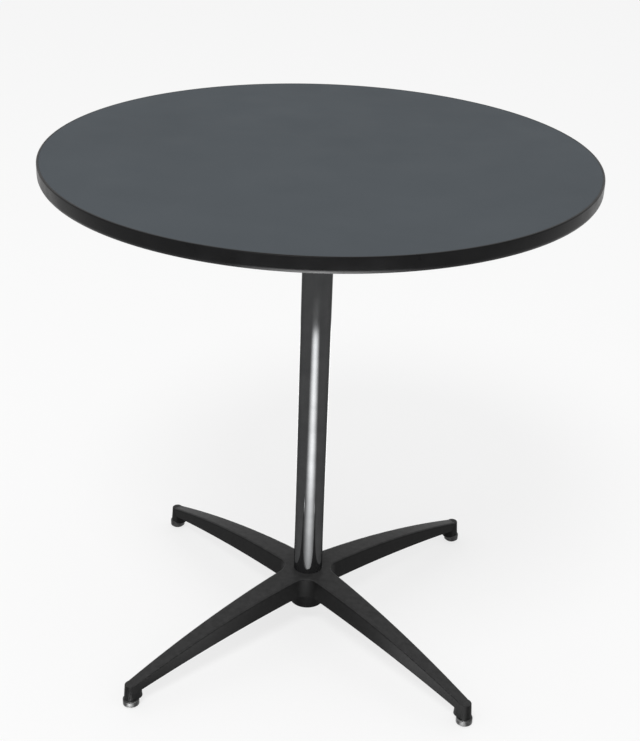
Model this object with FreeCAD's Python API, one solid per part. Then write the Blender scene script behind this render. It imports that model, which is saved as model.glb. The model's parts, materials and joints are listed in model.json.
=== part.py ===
import FreeCAD, Part
import math
import os

# Round cocktail table: a laminate-faced round top with a T-moulded edge, a chrome column
# pulled tight by a rod inside it, and a cast base with four arms on levelling glides.
# Millimetres, +Z up. The origin is on the floor under the middle of the column, and the
# four arms lie on the diagonals.

# Overall
TABLE_HEIGHT = 762.0
TOP_DIAMETER = 762.0

# Top: a board with a laminate face and a backing sheet
CORE_THICKNESS = 19.0
LAMINATE_THICKNESS = 0.8
BACKING_THICKNESS = 0.8

# Edge moulding: a face strip with a barbed tongue, bent round the board and butted at the rear
MOULDING_FACE = 3.0
MOULDING_UPPER_ROUND = 1.6
MOULDING_LOWER_ROUND_HEIGHT = 5.6
MOULDING_LOWER_ROUND_INSET = 2.4
MOULDING_FIT = 0.05
MOULDING_BUTT_GAP = 0.4
TONGUE_THICKNESS = 2.0
TONGUE_DEPTH = 9.0
BARB_COUNT = 3
BARB_LENGTH = 2.2
BARB_HEIGHT = 0.4
GROOVE_SIDE_CLEARANCE = 0.15
GROOVE_END_CLEARANCE = 1.2

# Column and the rod inside it
COLUMN_DIAMETER = 44.45
COLUMN_WALL = 1.65
COLUMN_FIT = 0.1
ROD_DIAMETER = 9.5
ROD_HOLE_CLEARANCE = 0.6
ROD_THREAD_FIT = 0.05
ROD_END_CHAMFER = 1.0
ROD_TOP_MARGIN = 2.5
ROD_TAIL = 4.0

# Rod fastening under the hub: flat washer, split washer and hexagon nut
WASHER_DIAMETER = 25.0
WASHER_THICKNESS = 2.0
SPLIT_WASHER_DIAMETER = 16.5
SPLIT_WASHER_THICKNESS = 2.4
SPLIT_WASHER_GAP = 1.2
NUT_SIDES = 6
NUT_ACROSS_FLATS = 14.3
NUT_HEIGHT = 8.3
NUT_CORNER_CHAMFER_DEGREES = 30.0

# Spider: a cast four-arm plate that carries the top
SPIDER_REACH = 165.0
SPIDER_PLATE = 6.0
SPIDER_ROOT_WIDTH = 44.0
SPIDER_TIP_WIDTH = 26.0
SPIDER_TIP_ROUND = 8.0
SPIDER_VALLEY_ROUND = 14.0
SPIDER_SOCKET_WALL = 7.8
SPIDER_SOCKET_DEPTH = 20.0
SPIDER_TAPPED_DEPTH = 18.0
SPIDER_HUB_ROUND = 3.0
SPIDER_RIB_DEPTH = 22.0
SPIDER_RIB_THICKNESS = 7.0
SPIDER_RIB_SCREW_CLEARANCE = 13.0

# Spider screws: two in each arm
SCREW_END_MARGIN = 17.0
SCREW_SPACING = 48.0
SCREW_DIAMETER = 4.8
SCREW_POINT = 4.0
SCREW_COVER = 6.5
SCREW_HEAD_DIAMETER = 9.5
SCREW_HEAD_HEIGHT = 3.0
SCREW_RECESS_LENGTH = 5.0
SCREW_RECESS_WIDTH = 1.1
SCREW_RECESS_DEPTH = 1.7
SCREW_PILOT_FIT = 0.05
SCREW_PILOT_MARGIN = 0.5
SCREW_HOLE_CLEARANCE = 0.35

# Levelling glides: nylon pad, pressed shell and threaded stem, one under each arm tip
GLIDE_CIRCLE_RADIUS = 341.0
GLIDE_SEAT_GAP = 0.25
STEM_DIAMETER = 6.35
STEM_PITCH = 1.27
STEM_THREAD_DEPTH = 0.6
STEM_FIT = 0.06
STEM_LENGTH = 17.0
STEM_HOLE_MARGIN = 1.5
STEM_HEAD_DIAMETER = 15.0
STEM_HEAD_THICKNESS = 3.5
SHELL_DIAMETER = 24.0
SHELL_HEIGHT = 10.0
SHELL_WALL = 1.2
SHELL_INNER_ROUND = 1.2
SHELL_LIFT = 2.0
PAD_CLEARANCE = 0.3
PAD_BOTTOM_CHAMFER = 1.0

# Base casting: hub, four arms with hollow undersides, and a round-ended tapped boss at each tip
HUB_TOP_HEIGHT = 91.5
HUB_FLAT_RADIUS = 31.0
HUB_SHOULDER_ROUND = 200.0
HUB_BOSS_BOTTOM = 29.0
HUB_BOSS_WALL = 11.5
HUB_BOSS_ROUND = 4.0
COLUMN_SEAT_DEPTH = 6.0
NUT_RECESS_CLEARANCE = 3.5
NUT_RECESS_MARGIN = 3.3
ARM_ROOT_RADIUS = 40.0
ARM_ROOT_WIDTH = 45.0
ARM_TIP_WIDTH = 18.5
ARM_TIP_HEIGHT = 36.5
ARM_START_SLOPE_DEGREES = 4.8
ARM_UNDER_ROOT_HEIGHT = 62.0
ARM_UNDER_TIP_HEIGHT = 20.5
ARM_UNDER_CROWN = 5.7
ARM_DRAFT_DEGREES = 2.0
ARM_EDGE_ROUND = 3.0
ARM_VALLEY_ROUND = 22.0
ARM_TIP_ROUND = 4.0
ARM_WALL = 4.5
CHANNEL_HUB_WALL = 10.0
CHANNEL_TIP_LENGTH = 46.0
TIP_BOSS_BOTTOM_RADIUS = 10.2
TIP_BOSS_TOP_RADIUS = 8.4
TIP_BOSS_INWARD = 8.0
TIP_BOSS_ROUND = 1.8

# Heights and radii that follow from the sizes above
TOP_THICKNESS = BACKING_THICKNESS + CORE_THICKNESS + LAMINATE_THICKNESS
TOP_UNDERSIDE = TABLE_HEIGHT - TOP_THICKNESS
CORE_BOTTOM = TOP_UNDERSIDE + BACKING_THICKNESS
CORE_TOP = CORE_BOTTOM + CORE_THICKNESS
TOP_RADIUS = TOP_DIAMETER / 2
MOULDING_INNER_RADIUS = TOP_RADIUS - MOULDING_FACE
BOARD_RADIUS = MOULDING_INNER_RADIUS - MOULDING_FIT
TONGUE_MIDDLE = CORE_BOTTOM + CORE_THICKNESS / 2
SPIDER_HUB_RADIUS = COLUMN_DIAMETER / 2 + SPIDER_SOCKET_WALL
SPIDER_PLATE_BOTTOM = TOP_UNDERSIDE - SPIDER_PLATE
COLUMN_TOP = TOP_UNDERSIDE - SPIDER_TAPPED_DEPTH
SPIDER_HUB_BOTTOM = COLUMN_TOP - SPIDER_SOCKET_DEPTH
OUTER_SCREW_RADIUS = SPIDER_REACH - SCREW_END_MARGIN
INNER_SCREW_RADIUS = OUTER_SCREW_RADIUS - SCREW_SPACING
SPIDER_RIB_REACH = INNER_SCREW_RADIUS - SCREW_HEAD_DIAMETER / 2 - SPIDER_RIB_SCREW_CLEARANCE
SCREW_TIP_HEIGHT = CORE_TOP - SCREW_COVER
COLUMN_BOTTOM = HUB_TOP_HEIGHT - COLUMN_SEAT_DEPTH
NUT_RECESS_RADIUS = WASHER_DIAMETER / 2 + NUT_RECESS_CLEARANCE
HUB_BOSS_RADIUS = NUT_RECESS_RADIUS + HUB_BOSS_WALL
ROD_BOTTOM = HUB_BOSS_BOTTOM + NUT_RECESS_MARGIN
NUT_BOTTOM = ROD_BOTTOM + ROD_TAIL
SPLIT_WASHER_BOTTOM = NUT_BOTTOM + NUT_HEIGHT
WASHER_BOTTOM = SPLIT_WASHER_BOTTOM + SPLIT_WASHER_THICKNESS
NUT_RECESS_TOP = WASHER_BOTTOM + WASHER_THICKNESS
SHELL_TOP = SHELL_LIFT + SHELL_HEIGHT
STEM_HEAD_TOP = SHELL_TOP - SHELL_WALL
STEM_HEAD_BOTTOM = STEM_HEAD_TOP - STEM_HEAD_THICKNESS
STEM_TOP = SHELL_TOP + STEM_LENGTH
PAD_HEIGHT = STEM_HEAD_BOTTOM - PAD_CLEARANCE
TIP_BOSS_BOTTOM = SHELL_TOP + GLIDE_SEAT_GAP
ARM_REACH = GLIDE_CIRCLE_RADIUS
CHANNEL_INNER_RADIUS = HUB_BOSS_RADIUS + CHANNEL_HUB_WALL
CHANNEL_OUTER_RADIUS = ARM_REACH - CHANNEL_TIP_LENGTH

ARM_DIRECTIONS = {"rear_right": 45.0, "rear_left": 135.0, "front_left": 225.0, "front_right": 315.0}
REAR_DEGREES = 90.0
QUARTER_TURN_DEGREES = 90.0
UP = FreeCAD.Vector(0, 0, 1)
CENTRE = FreeCAD.Vector(0, 0, 0)
SAME_PLACE = 0.01


def section_point(radius, height):
    """A point of a section in the plane of X and Z."""
    return FreeCAD.Vector(radius, 0, height)


def line(start, end):
    return Part.makeLine(section_point(*start), section_point(*end))


def arc(start, middle, end):
    return Part.Arc(section_point(*start), section_point(*middle), section_point(*end)).toShape()


def cap(radius, foot, rise):
    """A domed end's arc, from its rim to its middle on the axis; a negative rise domes downwards."""
    sphere = (radius ** 2 + rise ** 2) / (2 * rise)
    half_turn = math.atan2(radius, abs(sphere - rise)) / 2
    middle = (abs(sphere) * math.sin(half_turn), foot + rise - sphere * (1 - math.cos(half_turn)))
    return arc((radius, foot), middle, (0, foot + rise))


def chain(points):
    """The straight edges that join a row of section points."""
    return [line(start, end) for start, end in zip(points[:-1], points[1:])]


def turned(edges, degrees=360.0):
    """The solid swept by a closed section as it turns about the table's axis."""
    return Part.Face(Part.Wire(edges)).revolve(CENTRE, UP, degrees)


def disc(radius, bottom, top):
    return Part.makeCylinder(radius, top - bottom, section_point(0, bottom))


def level_edges(shape, height):
    """The round edges of a turned shape that lie at one height."""
    return [edge for edge in shape.Edges if abs(edge.CenterOfMass.z - height) < SAME_PLACE]


def turned_to(shape, degrees):
    """A copy of a shape, turned about the table's axis."""
    copy = shape.copy()
    copy.rotate(CENTRE, UP, degrees)
    return copy


def set_out(shape, radius, degrees):
    """A copy of a shape made on the axis, moved out and turned to its place."""
    copy = shape.copy()
    copy.translate(FreeCAD.Vector(radius, 0, 0))
    return turned_to(copy, degrees)


def on_each_arm(shape):
    return [turned_to(shape, degrees) for degrees in ARM_DIRECTIONS.values()]


def crowned_middle(start, end, crown):
    """The middle of a shallow arc that stands a crown's height above its chord."""
    along_x = end[0] - start[0]
    along_z = end[1] - start[1]
    length = math.hypot(along_x, along_z)
    middle_x = (start[0] + end[0]) / 2 - crown * along_z / length
    middle_z = (start[1] + end[1]) / 2 + crown * along_x / length
    return (middle_x, middle_z)


def flat_sided(bottom, top):
    """The solid between two outlines of as many corners, with a flat side at each pair of them."""
    after = bottom[1:] + bottom[:1], top[1:] + top[:1]
    outlines = [list(reversed(bottom)), top]
    outlines += [list(corners) for corners in zip(bottom, *after, top)]
    faces = [Part.Face(Part.makePolygon(corners + corners[:1])) for corners in outlines]
    return Part.Solid(Part.Shell(faces))


def tapered_cross(reach, root_radius, root_width, tip_width, bottom, top, draft_degrees):
    """Four tapering arms that meet in the middle, with sides drawn in towards the top."""
    taper = (root_width - tip_width) / 2 / (reach - root_radius)
    outlines = []
    for height in (bottom, top):
        inset = (height - bottom) * math.tan(math.radians(draft_degrees))
        near = root_width / 2 + taper * root_radius - inset
        end = reach - inset
        far = near - taper * end
        corners = [(0, -near), (end, -far), (end, far), (0, near)]
        outlines.append([FreeCAD.Vector(x, y, height) for x, y in corners])
    arms = on_each_arm(flat_sided(*outlines))
    return arms[0].fuse(arms[1:]).removeSplitter()


def upright_edges(shape, least_radius, greatest_radius):
    """The edges that climb through the shape between two distances from the axis."""
    found = []
    for edge in shape.Edges:
        ends = [vertex.Point for vertex in edge.Vertexes]
        if len(ends) == 2 and abs(ends[0].z - ends[1].z) > edge.Length / 2:
            radii = [math.hypot(point.x, point.y) for point in ends]
            if min(radii) > least_radius and max(radii) < greatest_radius:
                found.append(edge)
    return found


def rounded_cross(cross, reach, valley_round, tip_round):
    """A cross of arms with its valleys filled and its tip corners rounded."""
    filled = cross.makeFillet(valley_round, upright_edges(cross, 0, reach / 2))
    return filled.makeFillet(tip_round, upright_edges(filled, reach / 2, 2 * reach))


def screw_places():
    """Radius and direction of each spider screw."""
    radii = (INNER_SCREW_RADIUS, OUTER_SCREW_RADIUS)
    return [(radius, degrees) for degrees in ARM_DIRECTIONS.values() for radius in radii]


def at_each_screw(shape):
    return [set_out(shape, radius, degrees) for radius, degrees in screw_places()]


def pilot_holes():
    radius = SCREW_DIAMETER / 2 + SCREW_PILOT_FIT
    return at_each_screw(disc(radius, TOP_UNDERSIDE, SCREW_TIP_HEIGHT + SCREW_PILOT_MARGIN))


def make_core():
    """Board with a groove round its edge and a pilot hole for each screw."""
    board = disc(BOARD_RADIUS, CORE_BOTTOM, CORE_TOP)
    half = TONGUE_THICKNESS / 2 + BARB_HEIGHT + GROOVE_SIDE_CLEARANCE
    floor_radius = MOULDING_INNER_RADIUS - TONGUE_DEPTH - GROOVE_END_CLEARANCE
    groove = disc(TOP_RADIUS, TONGUE_MIDDLE - half, TONGUE_MIDDLE + half)
    groove = groove.cut(disc(floor_radius, TONGUE_MIDDLE - half, TONGUE_MIDDLE + half))
    return board.cut([groove] + pilot_holes())


def make_laminate():
    return disc(BOARD_RADIUS, CORE_TOP, TABLE_HEIGHT)


def make_backing():
    return disc(BOARD_RADIUS, TOP_UNDERSIDE, CORE_BOTTOM).cut(pilot_holes())


def tongue_side(side):
    """Section points of the tongue's upper (1) or lower (-1) side, from the strip to the tip."""
    flat = TONGUE_MIDDLE + side * TONGUE_THICKNESS / 2
    crest = flat + side * BARB_HEIGHT
    tip = MOULDING_INNER_RADIUS - TONGUE_DEPTH
    points = [(MOULDING_INNER_RADIUS, flat)]
    for barb in range(BARB_COUNT, 0, -1):
        points.append((tip + barb * BARB_LENGTH, flat))
        points.append((tip + barb * BARB_LENGTH, crest))
    return points + [(tip, flat)]


def make_moulding():
    """Edge strip turned round the board, open by a hairline where its ends butt."""
    upper_inset = MOULDING_UPPER_ROUND * (1 - math.sqrt(0.5))
    upper_start = (TOP_RADIUS - MOULDING_UPPER_ROUND, TABLE_HEIGHT)
    upper_middle = (TOP_RADIUS - upper_inset, TABLE_HEIGHT - upper_inset)
    upper_end = (TOP_RADIUS, TABLE_HEIGHT - MOULDING_UPPER_ROUND)
    chord = math.hypot(MOULDING_LOWER_ROUND_INSET, MOULDING_LOWER_ROUND_HEIGHT)
    lower_radius = chord ** 2 / (2 * MOULDING_LOWER_ROUND_INSET)
    half_turn = math.asin(MOULDING_LOWER_ROUND_HEIGHT / lower_radius) / 2
    lower_start = (TOP_RADIUS, TOP_UNDERSIDE + MOULDING_LOWER_ROUND_HEIGHT)
    lower_middle = (TOP_RADIUS - lower_radius * (1 - math.cos(half_turn)),
                    lower_start[1] - lower_radius * math.sin(half_turn))
    lower_end = (TOP_RADIUS - MOULDING_LOWER_ROUND_INSET, TOP_UNDERSIDE)
    back = [lower_end, (MOULDING_INNER_RADIUS, TOP_UNDERSIDE)]
    back += tongue_side(-1) + list(reversed(tongue_side(1)))
    back += [(MOULDING_INNER_RADIUS, TABLE_HEIGHT), upper_start]
    edges = [arc(upper_start, upper_middle, upper_end), line(upper_end, lower_start),
             arc(lower_start, lower_middle, lower_end)]
    gap_degrees = math.degrees(MOULDING_BUTT_GAP / TOP_RADIUS)
    ring = turned(edges + chain(back), 360.0 - gap_degrees)
    return turned_to(ring, REAR_DEGREES + gap_degrees / 2)


def make_spider():
    """Cast plate with four ribbed arms, a socket for the column and a tapped middle for the rod."""
    cross = tapered_cross(SPIDER_REACH, SPIDER_HUB_RADIUS, SPIDER_ROOT_WIDTH, SPIDER_TIP_WIDTH,
                          SPIDER_PLATE_BOTTOM, TOP_UNDERSIDE, 0.0)
    plate = rounded_cross(cross, SPIDER_REACH, SPIDER_VALLEY_ROUND, SPIDER_TIP_ROUND)
    rib_bottom = SPIDER_PLATE_BOTTOM - SPIDER_RIB_DEPTH
    rib_points = [(0, SPIDER_PLATE_BOTTOM), (SPIDER_RIB_REACH, SPIDER_PLATE_BOTTOM),
                  (SPIDER_HUB_RADIUS, rib_bottom), (0, rib_bottom), (0, SPIDER_PLATE_BOTTOM)]
    rib = Part.Face(Part.Wire(chain(rib_points))).extrude(FreeCAD.Vector(0, SPIDER_RIB_THICKNESS, 0))
    rib.translate(FreeCAD.Vector(0, -SPIDER_RIB_THICKNESS / 2, 0))
    hub = disc(SPIDER_HUB_RADIUS, SPIDER_HUB_BOTTOM, TOP_UNDERSIDE)
    hub = hub.makeFillet(SPIDER_HUB_ROUND, level_edges(hub, SPIDER_HUB_BOTTOM))
    body = plate.fuse([hub] + on_each_arm(rib)).removeSplitter()
    socket = disc(COLUMN_DIAMETER / 2 + COLUMN_FIT, SPIDER_HUB_BOTTOM, COLUMN_TOP)
    tapping = disc(ROD_DIAMETER / 2 + ROD_THREAD_FIT, COLUMN_TOP, TOP_UNDERSIDE)
    screw_hole = disc(SCREW_DIAMETER / 2 + SCREW_HOLE_CLEARANCE, SPIDER_PLATE_BOTTOM, TOP_UNDERSIDE)
    return body.cut([socket, tapping] + at_each_screw(screw_hole))


def make_screws():
    """Pan-head screws with a cross recess, driven up through the spider into the board."""
    shank = SCREW_DIAMETER / 2
    head = SCREW_HEAD_DIAMETER / 2
    seat = SPIDER_PLATE_BOTTOM
    crown = (0, seat - SCREW_HEAD_HEIGHT)
    shank_end = (shank, SCREW_TIP_HEIGHT - SCREW_POINT)
    outline = chain([crown, (0, SCREW_TIP_HEIGHT), shank_end, (shank, seat), (head, seat)])
    screw = turned(outline + [cap(head, seat, -SCREW_HEAD_HEIGHT)])
    slot = Part.makeBox(SCREW_RECESS_LENGTH, SCREW_RECESS_WIDTH, SCREW_RECESS_DEPTH)
    slot.translate(FreeCAD.Vector(-SCREW_RECESS_LENGTH / 2, -SCREW_RECESS_WIDTH / 2, crown[1]))
    screw = screw.cut([slot, turned_to(slot, QUARTER_TURN_DEGREES)])
    return Part.makeCompound(at_each_screw(screw))


def make_column():
    outside = disc(COLUMN_DIAMETER / 2, COLUMN_BOTTOM, COLUMN_TOP)
    return outside.cut(disc(COLUMN_DIAMETER / 2 - COLUMN_WALL, COLUMN_BOTTOM, COLUMN_TOP))


def make_rod():
    """Rod from below the nut to the tapped middle of the spider."""
    radius = ROD_DIAMETER / 2
    top = TOP_UNDERSIDE - ROD_TOP_MARGIN
    points = [(0, ROD_BOTTOM), (radius - ROD_END_CHAMFER, ROD_BOTTOM),
              (radius, ROD_BOTTOM + ROD_END_CHAMFER), (radius, top - ROD_END_CHAMFER),
              (radius - ROD_END_CHAMFER, top), (0, top), (0, ROD_BOTTOM)]
    return turned(chain(points))


def make_washer():
    washer = disc(WASHER_DIAMETER / 2, WASHER_BOTTOM, NUT_RECESS_TOP)
    return washer.cut(disc(ROD_DIAMETER / 2 + ROD_HOLE_CLEARANCE, WASHER_BOTTOM, NUT_RECESS_TOP))


def make_split_washer():
    ring = disc(SPLIT_WASHER_DIAMETER / 2, SPLIT_WASHER_BOTTOM, WASHER_BOTTOM)
    hole = disc(ROD_DIAMETER / 2 + ROD_HOLE_CLEARANCE, SPLIT_WASHER_BOTTOM, WASHER_BOTTOM)
    gap = Part.makeBox(SPLIT_WASHER_DIAMETER, SPLIT_WASHER_GAP, SPLIT_WASHER_THICKNESS)
    gap.translate(FreeCAD.Vector(0, -SPLIT_WASHER_GAP / 2, SPLIT_WASHER_BOTTOM))
    return ring.cut([hole, gap])


def make_nut():
    """Hexagon nut with its lower corners chamfered."""
    flat = NUT_ACROSS_FLATS / 2
    corner = flat / math.cos(math.pi / NUT_SIDES)
    angles = [2 * math.pi * index / NUT_SIDES for index in range(NUT_SIDES + 1)]
    outline = [FreeCAD.Vector(corner * math.cos(a), corner * math.sin(a), NUT_BOTTOM) for a in angles]
    prism = Part.Face(Part.makePolygon(outline)).extrude(FreeCAD.Vector(0, 0, NUT_HEIGHT))
    spread = NUT_HEIGHT / math.tan(math.radians(NUT_CORNER_CHAMFER_DEGREES))
    cone = Part.makeCone(flat, flat + spread, NUT_HEIGHT, section_point(0, NUT_BOTTOM))
    hole = disc(ROD_DIAMETER / 2 + ROD_THREAD_FIT, NUT_BOTTOM, SPLIT_WASHER_BOTTOM)
    return prism.common(cone).cut(hole)


def shoulder_point(slope, lowered):
    """The point of the hub's shoulder where it has fallen to a slope."""
    radius = HUB_FLAT_RADIUS + HUB_SHOULDER_ROUND * math.sin(slope)
    return (radius, HUB_TOP_HEIGHT - lowered - HUB_SHOULDER_ROUND * (1 - math.cos(slope)))


def arm_top_line(lowered):
    """An arm's top line, or the same line lowered by a wall: the hub's shoulder, then a shallow arc."""
    slope = math.radians(ARM_START_SLOPE_DEGREES)
    foot = shoulder_point(slope, lowered)
    tip = (ARM_REACH, ARM_TIP_HEIGHT - lowered)
    fall = math.atan2(foot[1] - tip[1], tip[0] - foot[0])
    crown = math.dist(foot, tip) / 2 * math.tan((fall - slope) / 2)
    shoulder = arc(shoulder_point(0, lowered), shoulder_point(slope / 2, lowered), foot)
    return [shoulder, arc(foot, crowned_middle(foot, tip, crown), tip)]


def below_arm_tops(lowered):
    """The solid of revolution that lies below the tops of the hub and the arms."""
    start = shoulder_point(0, lowered)
    tip = (ARM_REACH, ARM_TIP_HEIGHT - lowered)
    return turned(arm_top_line(lowered) + chain([tip, (ARM_REACH, 0), (0, 0), (0, start[1]), start]))


def space_below_arms():
    """The open space below the arms, as far out as the outer sides of the tip bosses."""
    start = (0, ARM_UNDER_ROOT_HEIGHT)
    end = (ARM_REACH + TIP_BOSS_BOTTOM_RADIUS, ARM_UNDER_TIP_HEIGHT)
    middle = crowned_middle(start, end, ARM_UNDER_CROWN)
    return turned([arc(start, middle, end)] + chain([end, (end[0], 0), (0, 0), start]))


def arm_channels():
    """The hollows in the undersides of the arms."""
    cross = tapered_cross(ARM_REACH, ARM_ROOT_RADIUS, ARM_ROOT_WIDTH - 2 * ARM_WALL,
                          ARM_TIP_WIDTH - 2 * ARM_WALL, TIP_BOSS_BOTTOM, HUB_TOP_HEIGHT, ARM_DRAFT_DEGREES)
    ring = disc(CHANNEL_OUTER_RADIUS, 0, HUB_TOP_HEIGHT).cut(disc(CHANNEL_INNER_RADIUS, 0, HUB_TOP_HEIGHT))
    return cross.common(below_arm_tops(ARM_WALL)).common(ring)


def top_rim_edges(arms):
    """The edges between the tops of the arms and their sides and ends."""
    crest = Part.Wire(arm_top_line(0))
    found = []
    for edge in arms.Edges:
        low, high = edge.ParameterRange
        point = edge.valueAt((low + high) / 2)
        radius = math.hypot(point.x, point.y)
        if radius > HUB_FLAT_RADIUS:
            rise = crest.distToShape(Part.Vertex(section_point(radius, point.z)))[0]
        else:
            rise = abs(point.z - HUB_TOP_HEIGHT)
        sides = arms.ancestorsOfType(edge, Part.Face)
        if rise < SAME_PLACE and any(is_side(face) for face in sides):
            found.append(edge)
    return found


def is_side(face):
    """Whether a face stands nearly upright, as the sides and ends of the arms do."""
    u_low, u_high, v_low, v_high = face.ParameterRange
    normal = face.normalAt((u_low + u_high) / 2, (v_low + v_high) / 2)
    return abs(normal.z) < math.sin(math.radians(2 * ARM_DRAFT_DEGREES))


def round_ended(radius, inward, height):
    """A level outline with two straight sides, round the glide's axis and a point further inward."""
    corners = [FreeCAD.Vector(x, y, height) for x in (0, -inward) for y in (-radius, radius)]
    ends = [FreeCAD.Vector(x, 0, height) for x in (radius, -inward - radius)]
    outer = Part.Arc(corners[0], ends[0], corners[1]).toShape()
    inner = Part.Arc(corners[3], ends[1], corners[2]).toShape()
    return Part.Wire([outer, Part.makeLine(corners[1], corners[3]), inner,
                      Part.makeLine(corners[2], corners[0])])


def tip_boss():
    """The boss that ends an arm, drawn in towards a level top that is flush with the arm's."""
    bottom = round_ended(TIP_BOSS_BOTTOM_RADIUS, TIP_BOSS_INWARD, TIP_BOSS_BOTTOM)
    top = round_ended(TIP_BOSS_TOP_RADIUS, TIP_BOSS_INWARD, ARM_TIP_HEIGHT)
    boss = Part.makeLoft([bottom, top], True, True)
    return boss.makeFillet(TIP_BOSS_ROUND, level_edges(boss, ARM_TIP_HEIGHT))


def make_base():
    """Casting with a hub, four arched arms and a tapped boss at each arm tip."""
    cross = tapered_cross(ARM_REACH, ARM_ROOT_RADIUS, ARM_ROOT_WIDTH, ARM_TIP_WIDTH,
                          TIP_BOSS_BOTTOM, HUB_TOP_HEIGHT + ARM_EDGE_ROUND, ARM_DRAFT_DEGREES)
    cross = rounded_cross(cross, ARM_REACH, ARM_VALLEY_ROUND, ARM_TIP_ROUND)
    arms = cross.common(below_arm_tops(0))
    arms = arms.makeFillet(ARM_EDGE_ROUND, top_rim_edges(arms))
    arms = arms.cut([space_below_arms(), arm_channels()])
    boss = disc(HUB_BOSS_RADIUS, HUB_BOSS_BOTTOM, COLUMN_BOTTOM)
    boss = boss.makeFillet(HUB_BOSS_ROUND, level_edges(boss, HUB_BOSS_BOTTOM))
    body = arms.fuse([boss] + at_each_glide(tip_boss())).removeSplitter()
    seat = disc(COLUMN_DIAMETER / 2 + COLUMN_FIT, COLUMN_BOTTOM, HUB_TOP_HEIGHT)
    rod_hole = disc(ROD_DIAMETER / 2 + ROD_HOLE_CLEARANCE, NUT_RECESS_TOP, COLUMN_BOTTOM)
    recess = disc(NUT_RECESS_RADIUS, HUB_BOSS_BOTTOM, NUT_RECESS_TOP)
    tapping = disc(STEM_DIAMETER / 2 + STEM_FIT, TIP_BOSS_BOTTOM, STEM_TOP + STEM_HOLE_MARGIN)
    return body.cut([seat, rod_hole, recess] + at_each_glide(tapping))


def at_each_glide(shape):
    return [set_out(shape, GLIDE_CIRCLE_RADIUS, degrees) for degrees in ARM_DIRECTIONS.values()]


def make_pad():
    """Nylon foot that fills the shell and stands on the floor."""
    radius = SHELL_DIAMETER / 2 - SHELL_WALL - PAD_CLEARANCE
    points = [(0, 0), (radius - PAD_BOTTOM_CHAMFER, 0), (radius, PAD_BOTTOM_CHAMFER),
              (radius, PAD_HEIGHT), (0, PAD_HEIGHT), (0, 0)]
    return turned(chain(points))


def make_shell():
    """Pressed cup over the pad, with a hole for the stem."""
    outside = disc(SHELL_DIAMETER / 2, SHELL_LIFT, SHELL_TOP)
    outside = outside.makeFillet(SHELL_INNER_ROUND + SHELL_WALL, level_edges(outside, SHELL_TOP))
    inside = disc(SHELL_DIAMETER / 2 - SHELL_WALL, SHELL_LIFT, STEM_HEAD_TOP)
    inside = inside.makeFillet(SHELL_INNER_ROUND, level_edges(inside, STEM_HEAD_TOP))
    return outside.cut([inside, disc(STEM_DIAMETER / 2 + STEM_FIT, SHELL_LIFT, SHELL_TOP)])


def make_stem():
    """Threaded stem, with its head in the shell and its domed end in the boss of the arm's tip."""
    crest = STEM_DIAMETER / 2
    root = crest - STEM_THREAD_DEPTH
    head = STEM_HEAD_DIAMETER / 2
    turns = int((STEM_TOP - TIP_BOSS_BOTTOM) / STEM_PITCH) - 1
    points = [(0, STEM_HEAD_BOTTOM), (head, STEM_HEAD_BOTTOM), (head, STEM_HEAD_TOP),
              (crest, STEM_HEAD_TOP), (crest, TIP_BOSS_BOTTOM)]
    for turn in range(turns):
        valley = TIP_BOSS_BOTTOM + (turn + 0.5) * STEM_PITCH
        points += [(root, valley), (crest, valley + STEM_PITCH / 2)]
    dome_foot = points[-1][1]
    edges = chain([(0, STEM_TOP)] + points) + [cap(crest, dome_foot, STEM_TOP - dome_foot)]
    return turned(edges)


nodes = {
    "top_core": make_core(),
    "top_laminate": make_laminate(),
    "backing_sheet": make_backing(),
    "edge_moulding": make_moulding(),
    "top_spider": make_spider(),
    "spider_screws": make_screws(),
    "column_tube": make_column(),
    "tie_rod": make_rod(),
    "rod_washer": make_washer(),
    "rod_split_washer": make_split_washer(),
    "rod_nut": make_nut(),
    "base_casting": make_base(),
}
glide_pieces = {"glide_pad": make_pad(), "glide_shell": make_shell(), "glide_stem": make_stem()}
for piece, shape in glide_pieces.items():
    for corner, placed in zip(ARM_DIRECTIONS, at_each_glide(shape)):
        nodes[corner + "_" + piece] = placed

os.makedirs("parts", exist_ok=True)
for name, shape in nodes.items():
    shape.exportStep("parts/" + name + ".step")
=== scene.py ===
import json
import math

import bpy
from mathutils import Matrix, Vector


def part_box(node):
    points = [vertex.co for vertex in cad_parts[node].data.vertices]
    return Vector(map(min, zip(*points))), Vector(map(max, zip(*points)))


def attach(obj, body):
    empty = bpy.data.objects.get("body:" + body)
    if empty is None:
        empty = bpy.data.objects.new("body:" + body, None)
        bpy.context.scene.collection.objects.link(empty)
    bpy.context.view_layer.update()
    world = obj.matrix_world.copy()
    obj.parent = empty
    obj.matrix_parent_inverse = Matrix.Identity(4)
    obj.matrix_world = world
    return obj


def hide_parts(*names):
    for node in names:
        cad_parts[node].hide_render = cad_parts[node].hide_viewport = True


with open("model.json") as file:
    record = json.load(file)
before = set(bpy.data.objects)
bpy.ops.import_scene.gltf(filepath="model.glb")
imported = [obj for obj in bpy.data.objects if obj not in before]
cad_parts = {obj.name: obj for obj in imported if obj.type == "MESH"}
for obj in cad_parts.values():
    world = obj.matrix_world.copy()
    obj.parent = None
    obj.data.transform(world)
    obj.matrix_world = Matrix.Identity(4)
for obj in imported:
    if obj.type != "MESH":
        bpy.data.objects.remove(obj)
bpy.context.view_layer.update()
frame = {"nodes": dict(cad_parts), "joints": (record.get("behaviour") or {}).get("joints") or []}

# Board of the top: a round of particle board, sawn to the circle and grooved round its edge
# for the tongue of the edge strip. Its pressed chips show only where it is cut.


def start_finish(name):
    """A new finish with its shader, and the piece's own coordinates to draw its patterns on."""
    finish = bpy.data.materials.new(name)
    finish.use_nodes = True
    shader = finish.node_tree.nodes["Principled BSDF"]
    place = finish.node_tree.nodes.new("ShaderNodeTexCoord").outputs["Object"]
    return finish, shader, place


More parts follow.
